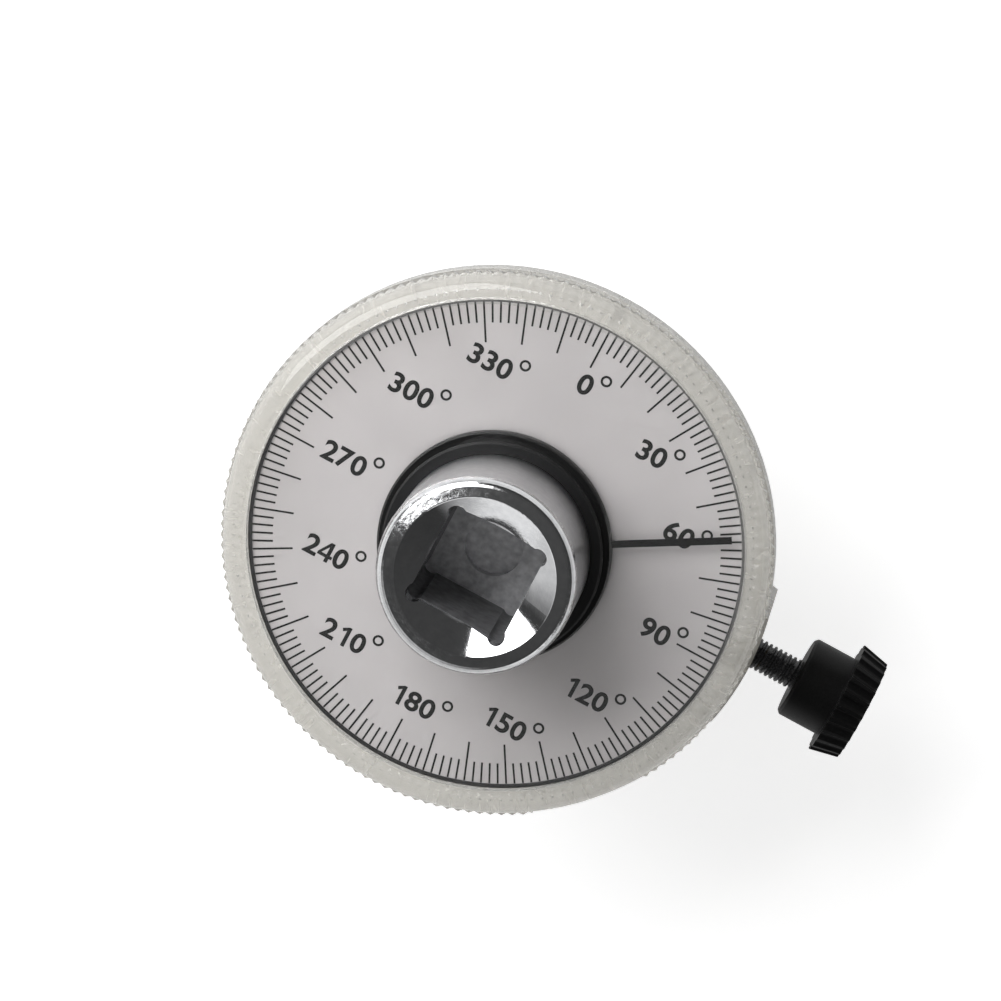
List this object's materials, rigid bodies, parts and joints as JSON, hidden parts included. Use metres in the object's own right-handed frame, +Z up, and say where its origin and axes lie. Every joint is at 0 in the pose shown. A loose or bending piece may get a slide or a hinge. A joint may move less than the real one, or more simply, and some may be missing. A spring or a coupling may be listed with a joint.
{
  "type": "torque angle gauge",
  "caption": "Round angle gauge with a square drive spindle through its middle, a degree dial under a clear knurled cover with a pointer, and a thumb screw lug that clamps a reaction rod.",
  "frame": {"origin": "centre of the end face of the square drive plug, on the spindle axis", "axes": "+Z up the spindle axis towards the square socket, +Y towards the 0 degree mark of the dial, +X towards the 90 degree mark and the thumb screw"},
  "size_m": [0.0864, 0.07, 0.0519],
  "materials": {
    "chromed_steel": "polished chrome plate",
    "bearing_steel": "polished",
    "spring_steel": "phosphated",
    "washer_steel": "ground",
    "black_rubber": "matt",
    "bush_bronze": "sintered bronze",
    "base_plastic": "clear moulded plastic",
    "insert_brass": "turned",
    "dial_aluminium": "satin, printed scale",
    "black_plastic": "smooth black moulding",
    "pointer_black": "matt black",
    "clear_plastic": "clear polished plastic",
    "pad_nylon": "nylon",
    "black_steel": "black oxide",
    "knob_plastic": "black moulded plastic"
  },
  "bodies": {
    "housing": {"base_housing": "base_plastic", "bearing_bush": "bush_bronze", "upper_thrust_washer": "washer_steel", "clamp_insert": "insert_brass", "dial_plate": "dial_aluminium", "dust_seal": "black_rubber"},
    "spindle": {"spindle": "chromed_steel", "retaining_ring": "spring_steel", "lower_thrust_washer": "washer_steel", "friction_ring": "black_rubber", "detent_spring": "spring_steel"},
    "pointer_cover": {"dial_cover": "clear_plastic", "pointer_hub": "black_plastic", "pointer": "pointer_black"},
    "detent_ball": {"detent_ball": "bearing_steel"},
    "clamp_pad": {"clamp_pad": "pad_nylon"},
    "clamp_screw": {"clamp_stud": "black_steel", "clamp_knob": "knob_plastic"}
  },
  "joints": [
    {"name": "spindle_turn", "type": "hinge", "parent": "housing", "child": "spindle", "pos_m": [0, 0, 0.024], "axis": [0, 0, 1], "continuous": true},
    {"name": "pointer_set", "type": "hinge", "parent": "spindle", "child": "pointer_cover", "pos_m": [0, 0, 0.0355], "axis": [0, 0, 1], "continuous": true},
    {"name": "detent_press", "type": "slide", "parent": "spindle", "child": "detent_ball", "axis": [0, 1, 0], "range_m": [0, 0.00095], "stiffness_N_per_m": 800, "springref_m": -0.002, "deforming": ["detent_spring"]},
    {"name": "clamp_screw_feed", "type": "slide", "parent": "housing", "child": "clamp_pad", "axis": [1, 0, 0], "range_m": [-0.0056, 0.0014]},
    {"name": "clamp_screw_turn", "type": "hinge", "parent": "clamp_pad", "child": "clamp_screw", "pos_m": [0.045, 0, 0.01987], "axis": [1, 0, 0], "range_deg": [-2880, 720]}
  ],
  "couplings": [
    {"joint": "clamp_screw_turn", "follows": "clamp_screw_feed", "rad_per_m": 8976}
  ]
}
